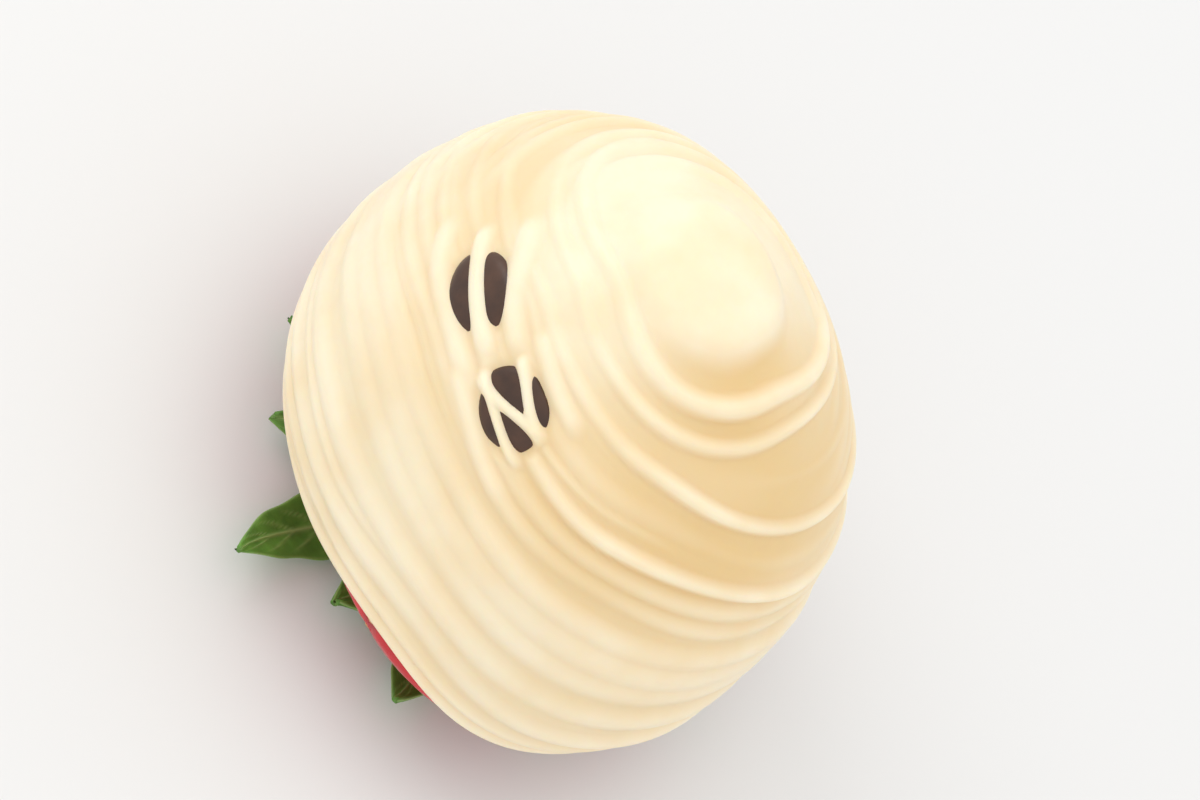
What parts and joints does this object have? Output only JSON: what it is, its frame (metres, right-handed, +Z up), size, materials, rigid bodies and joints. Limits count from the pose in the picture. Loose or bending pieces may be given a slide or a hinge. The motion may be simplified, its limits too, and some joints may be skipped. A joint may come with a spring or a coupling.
{
  "type": "chocolate coated strawberry",
  "caption": "Whole strawberry under a thick skin of drizzled white chocolate with small dark chocolate dots, its red shoulder and leafy cap showing at the foot.",
  "frame": {"origin": "middle of the underside of the leafy cap, on the surface that the berry stands on", "axes": "+Z up the berry's axis to its tip; -Y to the side that carries the dots; +X to that side's right"},
  "size_m": [0.0434, 0.0414, 0.0421],
  "materials": {
    "fruit": "moist red fruit skin with seeds in dimples",
    "white_chocolate": "satin cream chocolate, drizzled in soft ridges",
    "dark_chocolate": "satin dark chocolate",
    "leaf": "matt leaf with fine hairs and veins"
  },
  "bodies": {
    "root": {"strawberry": "fruit", "coating": "white_chocolate", "calyx": "leaf"}
  },
  "joints": []
}
